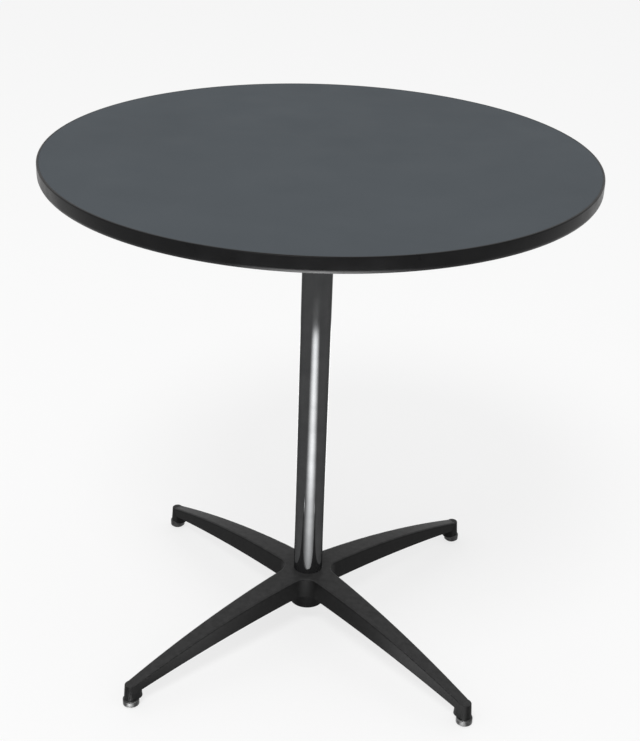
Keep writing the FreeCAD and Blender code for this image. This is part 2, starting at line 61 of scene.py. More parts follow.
def set_socket(finish, socket, value):
    """Give a socket a plain value, or join it to another node's output."""
    if isinstance(value, bpy.types.NodeSocket):
        finish.node_tree.links.new(value, socket)
    else:
        socket.default_value = value


def add_node(finish, kind, sockets, **settings):
    """A node of a finish, with its settings made and its sockets set or joined."""
    node = finish.node_tree.nodes.new("ShaderNode" + kind)
    for setting, value in settings.items():
        setattr(node, setting, value)
    for socket, value in sockets.items():
        set_socket(finish, node.inputs[socket], value)
    return node


def stretched(finish, place, scale):
    """Coordinates drawn out or squeezed, so that a pattern runs in streaks."""
    return add_node(finish, "Mapping", {"Vector": place, "Scale": scale}).outputs["Vector"]


def clouds(finish, place, lumps, detail=3.0):
    """Soft noise from 0 to 1 with about so many lumps to the metre."""
    sockets = {"Vector": place, "Scale": lumps, "Detail": detail}
    return add_node(finish, "TexNoise", sockets).outputs[0]


def ranged(finish, value, low, high, dark=0.3, light=0.7, blend="LINEAR"):
    """A pattern's values from dark to light, set out from low to high."""
    sockets = {"Value": value, "From Min": dark, "From Max": light, "To Min": low, "To Max": high}
    return add_node(finish, "MapRange", sockets, interpolation_type=blend).outputs["Result"]


def tinted(finish, value, stops):
    """Colours over a pattern's values, as (value, colour) stops."""
    ramp = add_node(finish, "ValToRGB", {"Fac": value})
    bands = ramp.color_ramp.elements
    while len(bands) < len(stops):
        bands.new(0.5)
    for band, (position, colour) in zip(bands, stops):
        band.position = position
        band.color = (*colour, 1.0)
    return ramp.outputs["Color"]


def relief(finish, height, depth, over=None):
    """Surface relief of a real depth, laid over a coarser one where there is one."""
    sockets = {"Height": height, "Distance": depth}
    if over is not None:
        sockets["Normal"] = over
    return add_node(finish, "Bump", sockets).outputs["Normal"]


def paint(finish, shader, **sockets):
    """Set the shader's sockets; an underscore in a name stands for a space."""
    for socket, value in sockets.items():
        set_socket(finish, shader.inputs[socket.replace("_", " ")], value)


def dress(node, finish):
    """Give a CAD piece its finish."""
    materials = frame["nodes"][node].data.materials
    materials.clear()
    materials.append(finish)


board_finish, shader, place = start_finish("particle_board")
CHIP_PALE = (0.56, 0.42, 0.26)
CHIP_BROWN = (0.36, 0.24, 0.13)
CHIP_DARK = (0.16, 0.10, 0.05)
CHIPS_TO_THE_METRE = 420.0
flat_chips = stretched(board_finish, place, scale=(1.0, 1.0, 2.6))
chips = add_node(board_finish, "TexVoronoi", {"Vector": flat_chips, "Scale": CHIPS_TO_THE_METRE})
chip_shade = add_node(board_finish, "SeparateColor", {"Color": chips.outputs["Color"]}).outputs[0]
paint(board_finish, shader, Roughness=0.85, Specular_IOR_Level=0.2,
      Base_Color=tinted(board_finish, chip_shade, [(0.0, CHIP_DARK), (0.3, CHIP_BROWN), (1.0, CHIP_PALE)]),
      Normal=relief(board_finish, chips.outputs["Distance"], depth=0.0004))
dress("top_core", board_finish)

# Backing sheet: a thin brown-black sheet of resin paper pressed on the board's underside, so that
# the top stays flat. It is sanded on its face, and the eight screws go through it.
backing_finish, shader, place = start_finish("backing_paper")
BACKING_DARK = (0.030, 0.025, 0.021)
BACKING_PALE = (0.052, 0.044, 0.037)
sanding_streaks = stretched(backing_finish, place, scale=(14.0, 900.0, 14.0))
sanding = clouds(backing_finish, sanding_streaks, lumps=1.0, detail=4.0)
fibres = clouds(backing_finish, place, lumps=260.0, detail=5.0)
paint(backing_finish, shader, Specular_IOR_Level=0.25,
      Base_Color=tinted(backing_finish, fibres, [(0.3, BACKING_DARK), (0.7, BACKING_PALE)]),
      Roughness=ranged(backing_finish, sanding, low=0.55, high=0.8),
      Normal=relief(backing_finish, sanding, depth=0.00004))
dress("backing_sheet", backing_finish)

# Laminate face: one dark grey sheet, glued over the whole board and trimmed flush with its edge.
# Its matte face is pressed with a fine pebble, and its print is faintly clouded.


def begin_piece():
    """Deselect everything, so that the next tool works on the next piece alone."""
    bpy.ops.object.select_all(action="DESELECT")


def take_piece(piece):
    """Select one piece alone, so that the next tool works on it."""
    begin_piece()
    piece.select_set(True)
    bpy.context.view_layer.objects.active = piece


def close_piece(name):
    """Leave edit mode with the piece's place in its mesh."""
    bpy.ops.object.mode_set(mode="OBJECT")
    bpy.ops.object.transform_apply(location=True, rotation=True, scale=True)
    piece = bpy.context.object
    piece.name = name
    piece.data.name = name
    return piece


def pick_open_edges():
    """Select the open edges of the mesh in hand."""
    bpy.ops.mesh.select_mode(type="EDGE")
    bpy.ops.mesh.select_all(action="DESELECT")
    bpy.ops.mesh.select_non_manifold()


def face_outward():
    """Turn the faces of the mesh in hand outward."""
    bpy.ops.mesh.select_all(action="SELECT")
    bpy.ops.mesh.normals_make_consistent(inside=False)


def turn_piece(name, profile, sides, ring=False):
    """A round piece on the table's axis: a circle drawn out along (radius, height) points.

    A ring's last circle is joined to its first, and any other piece is closed at both ends.
    """
    begin_piece()
    radius, height = profile[0]
    bpy.ops.mesh.primitive_circle_add(vertices=sides, radius=radius, location=(0, 0, height),
                                      enter_editmode=True)
    for next_radius, next_height in profile[1:]:
        rise = (0, 0, next_height - height)
        bpy.ops.mesh.extrude_region_move(TRANSFORM_OT_translate={"value": rise})
        spread = next_radius / radius
        bpy.ops.transform.resize(value=(spread, spread, 1), center_override=(0, 0, next_height))
        radius, height = next_radius, next_height
    pick_open_edges()
    if ring:
        bpy.ops.mesh.bridge_edge_loops()
    else:
        bpy.ops.mesh.fill_holes(sides=0)
    face_outward()
    return close_piece(name)


def smooth(piece, degrees=35):
    """Shade a piece smooth, apart from its corners."""
    take_piece(piece)
    bpy.ops.object.shade_smooth_by_angle(angle=math.radians(degrees))


def soften(piece, width, steps=3, corner_degrees=50):
    """Round a piece's corners by a width, and shade it smooth with its flats kept flat."""
    take_piece(piece)
    rounding = piece.modifiers.new("rounding", "BEVEL")
    rounding.width = width
    rounding.segments = steps
    rounding.limit_method = "ANGLE"
    rounding.angle_limit = math.radians(corner_degrees)
    bpy.ops.object.modifier_apply(modifier="rounding")
    bpy.ops.object.shade_smooth_by_angle(angle=math.radians(corner_degrees))
    shading = piece.modifiers.new("shading", "WEIGHTED_NORMAL")
    shading.keep_sharp = True
    bpy.ops.object.modifier_apply(modifier="shading")


def fit(piece, finish, slot, body, *nodes):
    """Give a piece its finish, and put it on its body in place of the CAD nodes that it stands for."""
    piece.data.materials.clear()
    piece.data.materials.append(finish)
    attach(piece, body)
    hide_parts(*nodes)


TOP_SIDES = 384
LAMINATE_EASING = 0.00025
low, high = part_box("top_laminate")
board_radius = min(high.x, high.y, -low.x, -low.y)
laminate_face = turn_piece("laminate_face", [(board_radius, low.z), (board_radius, high.z)], TOP_SIDES)
soften(laminate_face, LAMINATE_EASING)

laminate_finish, shader, place = start_finish("dark_grey_laminate")
LAMINATE_DARK = (0.0695, 0.0790, 0.0878)
LAMINATE_PALE = (0.0757, 0.0862, 0.0959)
PEBBLE_SHARE = 0.3
pebble = clouds(laminate_finish, place, lumps=1300.0, detail=2.0)
mottle = clouds(laminate_finish, place, lumps=7.0, detail=6.0)
wear = clouds(laminate_finish, place, lumps=16.0, detail=4.0)
fleck_shares = {"Factor": PEBBLE_SHARE, "A": mottle, "B": pebble}
flecks = add_node(laminate_finish, "Mix", fleck_shares).outputs["Result"]
paint(laminate_finish, shader, Specular_IOR_Level=0.02,
      Base_Color=tinted(laminate_finish, flecks, [(0.3, LAMINATE_DARK), (0.7, LAMINATE_PALE)]),
      Roughness=ranged(laminate_finish, wear, low=0.54, high=0.62),
      Normal=relief(laminate_finish, pebble, depth=0.000018))
fit(laminate_face, laminate_finish, "laminate", "table_frame", "top_laminate")

# Edge strip: black vinyl, extruded as a face with a barbed tongue behind it. The tongue is
# driven into the board's groove, and the two ends of the strip butt at the rear.
STRIP_FACE = 0.003
UPPER_ROUND = 0.0016
LOWER_ROUND_HEIGHT = 0.0056
LOWER_ROUND_INSET = 0.0024
ROUND_STEPS = 8
TONGUE_DEPTH = 0.009
TONGUE_HALF = 0.001
BARB_COUNT = 3
BARB_LENGTH = 0.0022
BARB_HEIGHT = 0.0004
BUTT_GAP = 0.0004
low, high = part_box("edge_moulding")
strip_radius = min(high.x, high.y, -low.x, -low.y)
strip_back = strip_radius - STRIP_FACE
core_low, core_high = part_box("top_core")
tongue_middle = (core_low.z + core_high.z) / 2
tongue_tip = strip_back - TONGUE_DEPTH
lower_chord = math.hypot(LOWER_ROUND_INSET, LOWER_ROUND_HEIGHT)
lower_radius = lower_chord ** 2 / (2 * LOWER_ROUND_INSET)
lower_turn = math.asin(LOWER_ROUND_HEIGHT / lower_radius)
strip_profile = []
for step in range(ROUND_STEPS + 1):
    turn = math.pi / 2 * (1 - step / ROUND_STEPS)
    strip_profile.append((strip_radius - UPPER_ROUND * (1 - math.cos(turn)),
                          high.z - UPPER_ROUND * (1 - math.sin(turn))))
for step in range(ROUND_STEPS + 1):
    turn = lower_turn * step / ROUND_STEPS
    strip_profile.append((strip_radius - lower_radius * (1 - math.cos(turn)),
                          low.z + LOWER_ROUND_HEIGHT - lower_radius * math.sin(turn)))
strip_profile.append((strip_back, low.z))


def tongue_side(side):
    """The tongue's lower (-1) or upper (1) side, from the strip to its tip."""
    flat = tongue_middle + side * TONGUE_HALF
    points = [(strip_back, flat)]
    for barb in range(BARB_COUNT, 0, -1):
        foot = tongue_tip + barb * BARB_LENGTH
        points += [(foot, flat), (foot, flat + side * BARB_HEIGHT)]
    return points + [(tongue_tip, flat)]


def pick_rear_faces(piece, half_width):
    """Select a piece's faces about the middle of the rear, and go on in edit mode."""
    bpy.ops.mesh.select_all(action="DESELECT")
    bpy.ops.object.mode_set(mode="OBJECT")
    for face in piece.data.polygons:
        face.select = face.center.y > 0 and abs(face.center.x) < half_width
    bpy.ops.object.mode_set(mode="EDIT")


strip_profile += tongue_side(-1) + list(reversed(tongue_side(1)))
strip_profile.append((strip_back, high.z))
edge_strip = turn_piece("edge_strip", strip_profile, TOP_SIDES, ring=True)
bpy.ops.object.mode_set(mode="EDIT")
for side in (-1, 1):
    pick_rear_faces(edge_strip, STRIP_FACE)
    bpy.ops.mesh.bisect(plane_co=(side * BUTT_GAP / 2, 0, 0), plane_no=(1, 0, 0))
bpy.ops.mesh.select_mode(type="FACE")
pick_rear_faces(edge_strip, BUTT_GAP / 2)
bpy.ops.mesh.delete(type="FACE")
pick_open_edges()
bpy.ops.mesh.fill_holes(sides=0)
face_outward()
bpy.ops.object.mode_set(mode="OBJECT")
smooth(edge_strip)

strip_finish, shader, place = start_finish("black_vinyl")
VINYL_DARK = (0.0050, 0.0050, 0.0053)
VINYL_PALE = (0.0076, 0.0076, 0.0080)
drawn_streaks = stretched(strip_finish, place, scale=(2.0, 2.0, 2600.0))
drawn_lines = clouds(strip_finish, drawn_streaks, lumps=1.0, detail=3.0)
handling = clouds(strip_finish, place, lumps=34.0, detail=5.0)
paint(strip_finish, shader, Specular_IOR_Level=0.09,
      Base_Color=tinted(strip_finish, handling, [(0.3, VINYL_DARK), (0.7, VINYL_PALE)]),
      Roughness=ranged(strip_finish, handling, low=0.26, high=0.38),
      Normal=relief(strip_finish, drawn_lines, depth=0.000008))
fit(edge_strip, strip_finish, "edge_vinyl", "table_frame", "edge_moulding")

# Spider: a cast four-arm plate with ribs, screwed under the board. The column's top end sits in
# its socket, and it has the same black coat as the base over a rougher casting.
spider_finish, shader, place = start_finish("coated_rough_casting")
SPIDER_DARK = (0.010, 0.010, 0.0105)
SPIDER_PALE = (0.022, 0.022, 0.023)
sand = clouds(spider_finish, place, lumps=520.0, detail=4.0)
lumps = clouds(spider_finish, place, lumps=60.0, detail=3.0)
paint(spider_finish, shader, Specular_IOR_Level=0.3,
      Base_Color=tinted(spider_finish, lumps, [(0.3, SPIDER_DARK), (0.7, SPIDER_PALE)]),
      Roughness=ranged(spider_finish, sand, low=0.5, high=0.7),
      Normal=relief(spider_finish, sand, depth=0.00016, over=relief(spider_finish, lumps, depth=0.0004)))
dress("top_spider", spider_finish)

# Spider screws: eight zinc-plated pan-head screws with a cross recess, driven up through the
# spider's arms into the board, two in each arm.
SCREW_RADII = (0.100, 0.148)
SCREW_HEAD_RADIUS = 0.00475
SCREW_HEAD_HEIGHT = 0.003
SCREW_HEAD_STEPS = 7
SCREW_CORE_RADIUS = 0.0017
SCREW_THREAD_RADIUS = 0.0024
SCREW_PITCH = 0.0018
SCREW_POINT = 0.004
SCREW_TIP_RADIUS = 0.000085
SCREW_OVERLAP = 0.00075
RECESS_LENGTH = 0.005
RECESS_WIDTH = 0.0011
RECESS_DEPTH = 0.0017
SCREW_TURN_STEP = 17
SMALL_SIDES = 32
THREAD_SPARE_TURNS = 3
THREAD_MERGE_SHARE = 0.001
ARM_TURNS = {"rear_right": 45, "rear_left": 135, "front_left": 225, "front_right": 315}


def roll_thread(name, root, crest, pitch, low, high, steps):
    """A length of screw thread on the table's axis, cut square at both ends."""
    begin_piece()
    bpy.ops.mesh.primitive_plane_add(size=pitch, enter_editmode=True)
    bpy.ops.mesh.select_mode(type="VERT")
    bpy.ops.mesh.merge(type="CENTER")
    bpy.ops.transform.translate(value=(root, 0, low - THREAD_SPARE_TURNS / 2 * pitch))
    for outward in (crest - root, root - crest):
        step = (outward, 0, pitch / 2)
        bpy.ops.mesh.extrude_vertices_move(TRANSFORM_OT_translate={"value": step})
    thread = close_piece(name)
    winding = thread.modifiers.new("winding", "SCREW")
    winding.angle = 2 * math.pi
    winding.screw_offset = pitch
    winding.iterations = math.ceil((high - low) / pitch) + THREAD_SPARE_TURNS
    winding.steps = steps
    winding.render_steps = steps
    bpy.ops.object.modifier_apply(modifier="winding")
    bpy.ops.object.mode_set(mode="EDIT")
    bpy.ops.mesh.select_all(action="SELECT")
    bpy.ops.mesh.remove_doubles(threshold=pitch * THREAD_MERGE_SHARE)
    bpy.ops.mesh.bisect(plane_co=(0, 0, low), plane_no=(0, 0, 1), clear_inner=True, use_fill=True)
    bpy.ops.mesh.select_all(action="SELECT")
    bpy.ops.mesh.bisect(plane_co=(0, 0, high), plane_no=(0, 0, 1), clear_outer=True, use_fill=True)
    face_outward()
    bpy.ops.object.mode_set(mode="OBJECT")
    return thread


def join_pieces(name, pieces):
    """Make one piece of several."""
    begin_piece()
    for piece in pieces:
        piece.select_set(True)
    bpy.context.view_layer.objects.active = pieces[0]
    bpy.ops.object.join()
    pieces[0].name = name
    pieces[0].data.name = name
    return pieces[0]


def placed_copy(piece, name, x, y, degrees=0):
    """A copy of a piece made on the axis, with its own mesh, turned and moved to its place."""
    take_piece(piece)
    bpy.ops.object.duplicate()
    copy = bpy.context.object
    copy.location = (x, y, 0)
    copy.rotation_euler.z = math.radians(degrees)
    bpy.ops.object.transform_apply(location=True, rotation=True, scale=True)
    copy.name = name
    copy.data.name = name
    return copy


def remove_piece(piece):
    """Take away a piece that was only a pattern or a cutter."""
    bpy.data.objects.remove(piece, do_unlink=True)


def shape_piece(piece, tool, operation="DIFFERENCE"):
    """Cut a piece with a tool, or keep only what lies in the tool, and take the tool away."""
    take_piece(piece)
    shaping = piece.modifiers.new("shaping", "BOOLEAN")
    shaping.operation = operation
    shaping.object = tool
    bpy.ops.object.modifier_apply(modifier="shaping")
    remove_piece(tool)


def cut_slot(piece, middle, size, turn):
    """Cut a straight slot of a size and turn about its middle."""
    begin_piece()
    bpy.ops.mesh.primitive_cube_add(size=1, location=middle, rotation=turn, scale=size, enter_editmode=True)
    shape_piece(piece, close_piece("slot_cutter"))


def dome(radius, foot, rise, steps):
    """Points of a domed end, from its rim to close to its middle; a negative rise domes it downwards."""
    ball = (radius ** 2 + rise ** 2) / (2 * abs(rise))
    half_turn = math.asin(min(1.0, radius / ball))
    points = []
    for step in range(steps):
        turn = half_turn * (1 - step / steps)
        fall = ball * (math.cos(turn) - math.cos(half_turn))
        points.append((ball * math.sin(turn), foot + math.copysign(fall, rise)))
    return points


low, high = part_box("spider_screws")
plate_bottom = low.z + SCREW_HEAD_HEIGHT
head_profile = dome(SCREW_HEAD_RADIUS, plate_bottom, -SCREW_HEAD_HEIGHT, SCREW_HEAD_STEPS)
screw_head = turn_piece("screw_head", head_profile, SMALL_SIDES)
recess_size = (RECESS_LENGTH, RECESS_WIDTH, 2 * RECESS_DEPTH)
for turn in (0, math.pi / 2):
    cut_slot(screw_head, (0, 0, low.z), recess_size, (0, 0, turn))
smooth(screw_head)
screw_thread = roll_thread("screw_thread", SCREW_CORE_RADIUS, SCREW_THREAD_RADIUS, SCREW_PITCH,
                           plate_bottom - SCREW_OVERLAP, high.z - SCREW_POINT, SMALL_SIDES // 2)
smooth(screw_thread)
screw_point = turn_piece("screw_point", [(SCREW_CORE_RADIUS, high.z - SCREW_POINT),
                                         (SCREW_TIP_RADIUS, high.z)], SMALL_SIDES)
smooth(screw_point)
screw = join_pieces("screw", [screw_head, screw_thread, screw_point])
screws = []
for arm_turn in ARM_TURNS.values():
    for radius in SCREW_RADII:
        angle = math.radians(arm_turn)
        screws.append(placed_copy(screw, "screw_copy", radius * math.cos(angle), radius * math.sin(angle),
                                  SCREW_TURN_STEP * len(screws)))
remove_piece(screw)
screws = join_pieces("pan_head_screws", screws)

zinc_finish, shader, place = start_finish("zinc_plate")
ZINC_COOL = (0.50, 0.51, 0.52)
ZINC_WARM = (0.58, 0.56, 0.49)
spangle = clouds(zinc_finish, place, lumps=700.0, detail=3.0)
stain = clouds(zinc_finish, place, lumps=110.0, detail=4.0)
paint(zinc_finish, shader, Metallic=1.0,
      Base_Color=tinted(zinc_finish, stain, [(0.35, ZINC_COOL), (0.65, ZINC_WARM)]),
      Roughness=ranged(zinc_finish, spangle, low=0.24, high=0.42),
      Normal=relief(zinc_finish, spangle, depth=0.00001))
fit(screws, zinc_finish, "plated_steel", "table_frame", "spider_screws")

# Tie rod: a plated steel rod up the middle of the column, screwed into the spider. Its lower end
# is threaded for the nut that pulls base, column and top together.
ROD_THREAD_LENGTH = 0.045
ROD_THREAD_DEPTH = 0.0009
ROD_PITCH = 0.00159
ROD_CHAMFER = 0.001
low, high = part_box("tie_rod")
rod_radius = min(high.x, high.y)
thread_top = low.z + ROD_THREAD_LENGTH
rod_thread = roll_thread("rod_thread", rod_radius - ROD_THREAD_DEPTH, rod_radius, ROD_PITCH,
                         low.z + ROD_CHAMFER, thread_top, SMALL_SIDES)
smooth(rod_thread)
rod_end = turn_piece("rod_end", [(rod_radius - ROD_CHAMFER, low.z),
                                 (rod_radius - ROD_THREAD_DEPTH, low.z + ROD_CHAMFER)], SMALL_SIDES)
smooth(rod_end)
rod_shank = turn_piece("rod_shank", [(rod_radius, thread_top), (rod_radius, high.z - ROD_CHAMFER),
                                     (rod_radius - ROD_CHAMFER, high.z)], SMALL_SIDES)
smooth(rod_shank)
rod = join_pieces("threaded_rod", [rod_shank, rod_thread, rod_end])
fit(rod, zinc_finish, "plated_steel", "table_frame", "tie_rod")

# Column: a round steel tube, polished and chrome plated, square at its ends. It stands in the
# seat of the base and reaches up into the spider's socket. Its colour is darkened far below chrome's own,
# with a diffuse share: painted shade of a dim room mirrored in it.
COLUMN_SIDES = 192
COLUMN_WALL = 0.00165
COLUMN_EASING = 0.0003
low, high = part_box("column_tube")
column_radius = min(high.x, -low.x)
column_bore = column_radius - COLUMN_WALL
column = turn_piece("column", [(column_radius, low.z), (column_radius, high.z), (column_bore, high.z),
                               (column_bore, low.z)], COLUMN_SIDES, ring=True)
soften(column, COLUMN_EASING)

chrome_finish, shader, place = start_finish("chrome_painted_dim")
# Very dark chrome tones: painted shade standing in for dim surroundings mirrored in the column.
PAINTED_DIM_CHROME_DEEP = (0.049, 0.050, 0.051)
PAINTED_DIM_CHROME_CLEAR = (0.059, 0.060, 0.061)
CHROME_EDGE = (0.30, 0.30, 0.30, 1.0)
polish_streaks = stretched(chrome_finish, place, scale=(420.0, 420.0, 1.6))
polish_lines = clouds(chrome_finish, polish_streaks, lumps=1.0, detail=4.0)
finger_marks = clouds(chrome_finish, place, lumps=38.0, detail=5.0)
paint(chrome_finish, shader, Metallic=0.7, Specular_IOR_Level=0.25, Specular_Tint=CHROME_EDGE,
      Base_Color=tinted(chrome_finish, finger_marks, [(0.35, PAINTED_DIM_CHROME_DEEP), (0.65, PAINTED_DIM_CHROME_CLEAR)]),
      Roughness=ranged(chrome_finish, finger_marks, low=0.06, high=0.10),
      Normal=relief(chrome_finish, polish_lines, depth=0.000003))
fit(column, chrome_finish, "chrome", "table_frame", "column_tube")

# Base: one sand casting with a hub and four tapering arms, hollow below, ground smooth on its tops
# and powder coated satin black. Its upper faces are painted lighter than its sides: painted light from
# above and painted shade on the sides.
base_finish, shader, place = start_finish("satin_black_coat")
# Two tones of one black coat: darker for the sides as painted shade, lighter for the upper faces as painted
# light.
SHADED_SIDE_COAT_DARK = (0.0046, 0.0046, 0.0047)
SHADED_SIDE_COAT_PALE = (0.0074, 0.0074, 0.0075)
LIT_TOP_COAT_DARK = (0.0310, 0.0310, 0.0312)
LIT_TOP_COAT_PALE = (0.0440, 0.0440, 0.0443)
peel = clouds(base_finish, place, lumps=620.0, detail=2.0)
swell = clouds(base_finish, place, lumps=46.0, detail=3.0)
scuffs = clouds(base_finish, place, lumps=120.0, detail=6.0)
facing = add_node(base_finish, "NewGeometry", {}).outputs["Normal"]
upward = add_node(base_finish, "SeparateXYZ", {"Vector": facing}).outputs["Z"]
# The upward-facing share blends the painted shade of the sides into the painted light of the tops.
on_top = ranged(base_finish, upward, low=0.0, high=1.0, dark=0.35, light=0.75)
shaded_side_coat = tinted(base_finish, scuffs, [(0.3, SHADED_SIDE_COAT_DARK), (0.7, SHADED_SIDE_COAT_PALE)])
lit_top_coat = tinted(base_finish, scuffs, [(0.3, LIT_TOP_COAT_DARK), (0.7, LIT_TOP_COAT_PALE)])
lit_and_shaded_coats = {"Fac": on_top, "Color1": shaded_side_coat, "Color2": lit_top_coat}
coat = add_node(base_finish, "MixRGB", lit_and_shaded_coats).outputs["Color"]
paint(base_finish, shader, Base_Color=coat, Specular_IOR_Level=0.07,
      Roughness=ranged(base_finish, on_top, low=0.46, high=0.36, dark=0.0, light=1.0),
      Normal=relief(base_finish, peel, depth=0.00002, over=relief(base_finish, swell, depth=0.00008)))
dress("base_casting", base_finish)

# Rod fastening: a flat washer, a split spring washer and a hexagon nut, zinc plated, in the recess
# under the hub. Tightening the nut holds the whole table together.
WASHER_EASING = 0.0003
WASHER_HOLE_RADIUS = 0.00535
low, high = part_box("rod_washer")
washer_radius = high.x
washer_profile = [(washer_radius, low.z), (washer_radius, high.z),
                  (WASHER_HOLE_RADIUS, high.z), (WASHER_HOLE_RADIUS, low.z)]
washer = turn_piece("flat_washer", washer_profile, 2 * SMALL_SIDES, ring=True)
soften(washer, WASHER_EASING)
fit(washer, zinc_finish, "plated_steel", "table_frame", "rod_washer")

SPLIT_GAP = 0.0012
SPLIT_SLANT = 0.5
low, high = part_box("rod_split_washer")
split_radius = high.y
split_profile = [(split_radius, low.z), (split_radius, high.z),
                 (WASHER_HOLE_RADIUS, high.z), (WASHER_HOLE_RADIUS, low.z)]
split_washer = turn_piece("spring_washer", split_profile, 2 * SMALL_SIDES, ring=True)
cut_slot(split_washer, (split_radius, 0, (low.z + high.z) / 2), (2 * split_radius, SPLIT_GAP, split_radius),
         (SPLIT_SLANT, 0, 0))
soften(split_washer, WASHER_EASING / 2, steps=2)
fit(split_washer, zinc_finish, "plated_steel", "table_frame", "rod_split_washer")

NUT_CHAMFER_SLOPE = math.tan(math.radians(30))
NUT_BORE = 0.0048
NUT_BORE_CHAMFER = 0.0005
NUT_SPARE = 0.001
NUT_FACE_INSET = 0.0002
NUT_SIDES = 98
low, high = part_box("rod_nut")
nut_corner = high.x
nut_face = nut_corner * math.cos(math.pi / 6) - NUT_FACE_INSET
begin_piece()
bpy.ops.mesh.primitive_cylinder_add(vertices=6, radius=nut_corner, depth=high.z - low.z + 2 * NUT_SPARE,
                                    location=(0, 0, (low.z + high.z) / 2), rotation=(0, 0, math.pi / 6),
                                    enter_editmode=True)
nut = close_piece("hexagon_nut")
crown_radius = nut_corner + NUT_SPARE
crown_slope = (crown_radius - nut_face) * NUT_CHAMFER_SLOPE
bore_mouth = NUT_BORE + NUT_BORE_CHAMFER
crown_profile = [(nut_face, low.z), (crown_radius, low.z + crown_slope),
                 (crown_radius, high.z - crown_slope), (nut_face, high.z),
                 (bore_mouth, high.z), (NUT_BORE, high.z - NUT_BORE_CHAMFER),
                 (NUT_BORE, low.z + NUT_BORE_CHAMFER), (bore_mouth, low.z)]
shape_piece(nut, turn_piece("nut_crown", crown_profile, NUT_SIDES, ring=True), "INTERSECT")
smooth(nut, degrees=20)
fit(nut, zinc_finish, "plated_steel", "table_frame", "rod_nut")

# Levelling glides: under each arm tip a nylon foot in a pressed chrome cup, on a threaded stem.
# The stem screws up into the boss of the tip, and turning it levels the table.
GLIDE_SIDES = 64
PAD_CHAMFER = 0.001
CUP_WALL = 0.0012
CUP_INNER_ROUND = 0.0012
CUP_STEPS = 6
CUP_LIP = 0.00045
CUP_STEM_CLEARANCE = 0.00006
STEM_CREST = 0.003175
STEM_DEPTH = 0.0006
STEM_PITCH = 0.00127
STEM_HEAD_RADIUS = 0.0075
STEM_HEAD_THICKNESS = 0.0035
STEM_DOME = 0.0011
STEM_DOME_STEPS = 5
STEM_OVERLAP = 0.00015
PILOT = "front_left"
low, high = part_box(PILOT + "_glide_pad")
pad_radius = (high.x - low.x) / 2
pad = turn_piece("pad", [(pad_radius - PAD_CHAMFER, low.z), (pad_radius, low.z + PAD_CHAMFER),
                         (pad_radius, high.z)], GLIDE_SIDES)
soften(pad, PAD_CHAMFER / 4, steps=2, corner_degrees=30)

low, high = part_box(PILOT + "_glide_shell")
cup_radius = (high.x - low.x) / 2
cup_round = CUP_INNER_ROUND + CUP_WALL
cup_bore = STEM_CREST + CUP_STEM_CLEARANCE
cup_profile = [(cup_radius - CUP_LIP, low.z), (cup_radius, low.z + CUP_LIP)]
for step in range(CUP_STEPS + 1):
    turn = math.pi / 2 * step / CUP_STEPS
    cup_profile.append((cup_radius - cup_round * (1 - math.cos(turn)),
                        high.z - cup_round * (1 - math.sin(turn))))
cup_profile += [(cup_bore, high.z), (cup_bore, high.z - CUP_WALL)]
for step in range(CUP_STEPS + 1):
    turn = math.pi / 2 * (1 - step / CUP_STEPS)
    cup_profile.append((cup_radius - CUP_WALL - CUP_INNER_ROUND * (1 - math.cos(turn)),
                        high.z - CUP_WALL - CUP_INNER_ROUND * (1 - math.sin(turn))))
cup_profile.append((cup_radius - CUP_WALL, low.z))
cup = turn_piece("cup", cup_profile, GLIDE_SIDES, ring=True)
smooth(cup)

low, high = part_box(PILOT + "_glide_stem")
dome_foot = high.z - STEM_DOME
head_top = low.z + STEM_HEAD_THICKNESS
stem_head = turn_piece("stem_head", [(STEM_HEAD_RADIUS, low.z), (STEM_HEAD_RADIUS, head_top)], GLIDE_SIDES)
soften(stem_head, WASHER_EASING, steps=2)
stem_thread = roll_thread("stem_thread", STEM_CREST - STEM_DEPTH, STEM_CREST, STEM_PITCH,
                          head_top - STEM_OVERLAP, dome_foot + STEM_OVERLAP, SMALL_SIDES)
smooth(stem_thread)
stem_end = turn_piece("stem_end", dome(STEM_CREST, dome_foot, STEM_DOME, STEM_DOME_STEPS), SMALL_SIDES)
smooth(stem_end)
stem = join_pieces("stem", [stem_head, stem_thread, stem_end])

nylon_finish, shader, place = start_finish("black_nylon")
NYLON_DARK = (0.014, 0.014, 0.014)
NYLON_PALE = (0.030, 0.029, 0.028)
moulded = clouds(nylon_finish, place, lumps=1500.0, detail=2.0)
rubbed = clouds(nylon_finish, place, lumps=240.0, detail=5.0)
paint(nylon_finish, shader, Specular_IOR_Level=0.35,
      Base_Color=tinted(nylon_finish, rubbed, [(0.35, NYLON_DARK), (0.65, NYLON_PALE)]),
      Roughness=ranged(nylon_finish, rubbed, low=0.45, high=0.7),
      Normal=relief(nylon_finish, moulded, depth=0.00002))

cup_finish, shader, place = start_finish("pressed_chrome")
# The cups' chrome is darkened far below its own colour: painted shade of dim surroundings mirrored in it.
PAINTED_DIM_CUP_DEEP = (0.036, 0.036, 0.036)
PAINTED_DIM_CUP_CLEAR = (0.066, 0.066, 0.066)
draw_streaks = stretched(cup_finish, place, scale=(1500.0, 1500.0, 60.0))
draw_lines = clouds(cup_finish, draw_streaks, lumps=1.0, detail=3.0)
grime = clouds(cup_finish, place, lumps=190.0, detail=5.0)
paint(cup_finish, shader, Metallic=1.0,
      Base_Color=tinted(cup_finish, grime, [(0.35, PAINTED_DIM_CUP_DEEP), (0.6, PAINTED_DIM_CUP_CLEAR)]),
      Roughness=ranged(cup_finish, grime, low=0.26, high=0.38),
      Normal=relief(cup_finish, draw_lines, depth=0.000006))

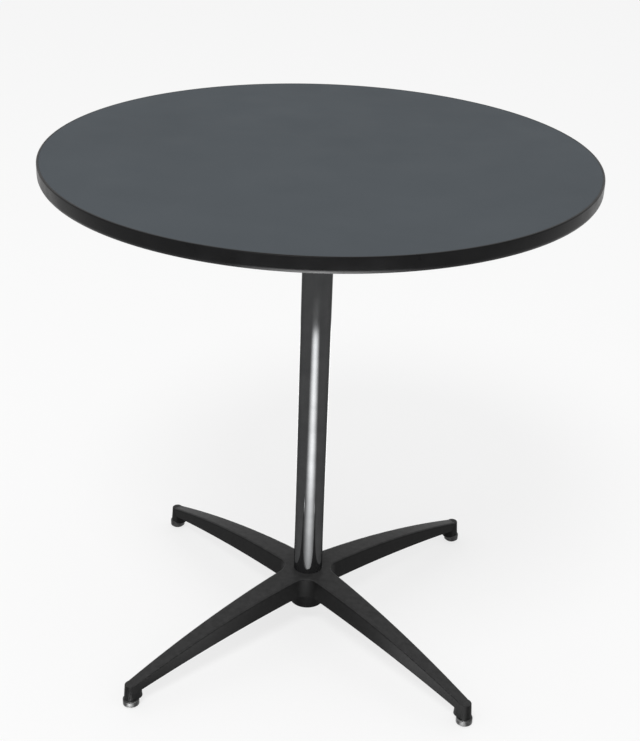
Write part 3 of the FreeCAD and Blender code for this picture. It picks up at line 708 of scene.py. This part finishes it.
turn_joints = {joint["child"]: joint["pos_m"] for joint in frame["joints"] if joint["type"] == "hinge"}
for corner in ARM_TURNS:
    x, y, _ = turn_joints[corner + "_glide"]
    fit(placed_copy(pad, corner + "_nylon_foot", x, y), nylon_finish, "nylon", corner + "_foot",
        corner + "_glide_pad")
    fit(placed_copy(cup, corner + "_chrome_cup", x, y), cup_finish, "glide_chrome", corner + "_glide",
        corner + "_glide_shell")
    fit(placed_copy(stem, corner + "_threaded_stem", x, y), zinc_finish, "plated_steel", corner + "_glide",
        corner + "_glide_stem")
for pattern in (pad, cup, stem):
    remove_piece(pattern)

# Stage: a plain pale floor under an even soft sky, one round soft lamp above the camera's left, and
# soft bright panels on the floor that only show mirrored: before and behind the column, and before
# the front cups.
FLOOR_SIZE = 40.0
FLOOR_COLOUR = (0.92, 0.92, 0.92, 1.0)
FLOOR_WHITENESS = 0.7
SKY_STRENGTH = 0.72
SKY_WHITENESS = 0.9
LAMP_PLACE = Vector((-0.7, -3.0, 5.1))
LAMP_TARGET = Vector((0, 0, 0.1))
LAMP_SIZE = 2.0
LAMP_WATTS = 125.0
PANEL_NEAR = 0.165
PANEL_FULL_FROM = 0.5
PANEL_FULL_TO = 1.09
PANEL_FAR = 1.17
PANEL_NEAR_SHARE = 0.25
PANEL_NEAR_SPREAD = math.radians(47)
PANEL_FAR_SPREAD = math.radians(34)
PANEL_LIFT = 0.0005
CUP_PANEL_SIZE = 0.045
# Each panel's place, turn in degrees, size and strength
PANELS = {"front_panel": (Vector(), -86, 1.0, 20.0), "rear_panel": (Vector(), 90, 1.0, 5.0),
          "left_cup_panel": (turn_joints["front_left_glide"], -92, CUP_PANEL_SIZE, 24.0),
          "right_cup_panel": (turn_joints["front_right_glide"], -108, CUP_PANEL_SIZE, 9.0)}


def when_seen(finish, unseen, seen):
    """One value where light comes from a thing, and another where the thing is looked at or mirrored."""
    rays = add_node(finish, "LightPath", {}).outputs
    looks = add_node(finish, "Math", {0: rays["Is Camera Ray"], 1: rays["Is Glossy Ray"]}).outputs["Value"]
    looks = add_node(finish, "Math", {0: looks, 1: rays["Is Transmission Ray"]}).outputs["Value"]
    return ranged(finish, looks, unseen, seen, dark=0.0, light=1.0)


begin_piece()
bpy.ops.mesh.primitive_plane_add(size=FLOOR_SIZE)
floor = bpy.context.object
floor.name = "floor"
floor_finish, shader, place = start_finish("pale_floor")
paint(floor_finish, shader, Base_Color=FLOOR_COLOUR, Roughness=0.95, Specular_IOR_Level=0.0)
share = when_seen(floor_finish, 0.0, FLOOR_WHITENESS)
white = add_node(floor_finish, "Emission", {"Strength": 1.0}).outputs["Emission"]
floor_face = add_node(floor_finish, "MixShader", {"Fac": share, 1: shader.outputs["BSDF"], 2: white})
from_below = add_node(floor_finish, "NewGeometry", {}).outputs["Backfacing"]
clear = add_node(floor_finish, "BsdfTransparent", {}).outputs["BSDF"]
floor_sides = {"Fac": from_below, 1: floor_face.outputs["Shader"], 2: clear}
floor_look = add_node(floor_finish, "MixShader", floor_sides).outputs["Shader"]
set_socket(floor_finish, floor_finish.node_tree.nodes["Material Output"].inputs["Surface"], floor_look)
floor.data.materials.append(floor_finish)

sky = bpy.data.worlds.new("even_sky")
bpy.context.scene.world = sky
sky.use_nodes = True
sky_light = sky.node_tree.nodes["Background"].inputs
set_socket(sky, sky_light["Color"], (1.0, 1.0, 1.0, 1.0))
set_socket(sky, sky_light["Strength"], when_seen(sky, SKY_STRENGTH, SKY_WHITENESS))

bpy.ops.object.light_add(type="AREA", location=LAMP_PLACE)
lamp = bpy.context.object
lamp.name = "soft_lamp"
lamp.data.shape = "DISK"
lamp.data.size = LAMP_SIZE
lamp.data.energy = LAMP_WATTS
lamp.rotation_euler = (LAMP_TARGET - LAMP_PLACE).to_track_quat("-Z", "Y").to_euler()
lamp.visible_camera = False

for name, (panel_place, panel_turn, panel_size, panel_strength) in PANELS.items():
    begin_piece()
    reach = PANEL_FAR - PANEL_NEAR
    bpy.ops.mesh.primitive_plane_add(size=1, location=(PANEL_NEAR + reach / 2, 0, PANEL_LIFT),
                                     enter_editmode=True)
    bpy.ops.transform.resize(value=(reach, 2 * PANEL_FAR * math.tan(PANEL_FAR_SPREAD), 1))
    panel = close_piece(name)
    panel.location = panel_place
    panel.rotation_euler.z = math.radians(panel_turn)
    panel.scale = (panel_size, panel_size, 1)
    glow, shader, place = start_finish(name + "_glow")
    spot = add_node(glow, "SeparateXYZ", {"Vector": place}).outputs
    bearing = add_node(glow, "Math", {0: spot["Y"], 1: spot["X"]}, operation="ARCTAN2").outputs["Value"]
    aside = add_node(glow, "Math", {0: bearing}, operation="ABSOLUTE").outputs["Value"]
    outward = add_node(glow, "VectorMath", {0: place}, operation="LENGTH").outputs["Value"]
    spread = ranged(glow, outward, PANEL_NEAR_SPREAD, PANEL_FAR_SPREAD, PANEL_NEAR, PANEL_FAR)
    edge = add_node(glow, "Math", {0: aside, 1: spread}, operation="DIVIDE").outputs["Value"]
    across = ranged(glow, edge, panel_strength, 0.0, dark=0.0, light=1.0, blend="SMOOTHSTEP")
    near = ranged(glow, outward, PANEL_NEAR_SHARE, 1.0, PANEL_NEAR, PANEL_FULL_FROM)
    far = ranged(glow, outward, 1.0, 0.0, PANEL_FULL_TO, PANEL_FAR, blend="SMOOTHSTEP")
    along = add_node(glow, "Math", {0: near, 1: far}, operation="MULTIPLY").outputs["Value"]
    feathered = add_node(glow, "Math", {0: across, 1: along}, operation="MULTIPLY").outputs["Value"]
    bright = add_node(glow, "Emission", {"Strength": feathered}).outputs["Emission"]
    clear = add_node(glow, "BsdfTransparent", {}).outputs["BSDF"]
    both = add_node(glow, "AddShader", {0: bright, 1: clear}).outputs["Shader"]
    set_socket(glow, glow.node_tree.nodes["Material Output"].inputs["Surface"], both)
    panel.data.materials.append(glow)
    panel.visible_camera = False
    panel.visible_diffuse = False
    panel.visible_shadow = False

# Camera: at about chest height, a hand's breadth to the right of the table's front, tilted down at
# the table and slightly rolled. Its angles are in radians.
CAMERA_SWING = 0.0362
CAMERA_DISTANCE = 1.7963
CAMERA_HEIGHT = 1.3172
CAMERA_PAN = 0.00464
CAMERA_TILT = 0.45662
CAMERA_ROLL = -0.03519
CAMERA_LENS = 66.36
CAMERA_SENSOR = 36.0
view = bpy.data.cameras.new("view")
camera = bpy.data.objects.new("camera", view)
bpy.context.scene.collection.objects.link(camera)
camera.location = (CAMERA_DISTANCE * math.sin(CAMERA_SWING), -CAMERA_DISTANCE * math.cos(CAMERA_SWING),
                   CAMERA_HEIGHT)
aim = Matrix.Rotation(CAMERA_SWING - CAMERA_PAN, 3, "Z")
aim = aim @ Matrix.Rotation(math.pi / 2 - CAMERA_TILT, 3, "X")
aim = aim @ Matrix.Rotation(-CAMERA_ROLL, 3, "Z")
camera.rotation_euler = aim.to_euler()
view.lens = CAMERA_LENS
view.sensor_width = CAMERA_SENSOR
bpy.context.scene.camera = camera
bpy.context.scene.view_settings.view_transform = "Standard"
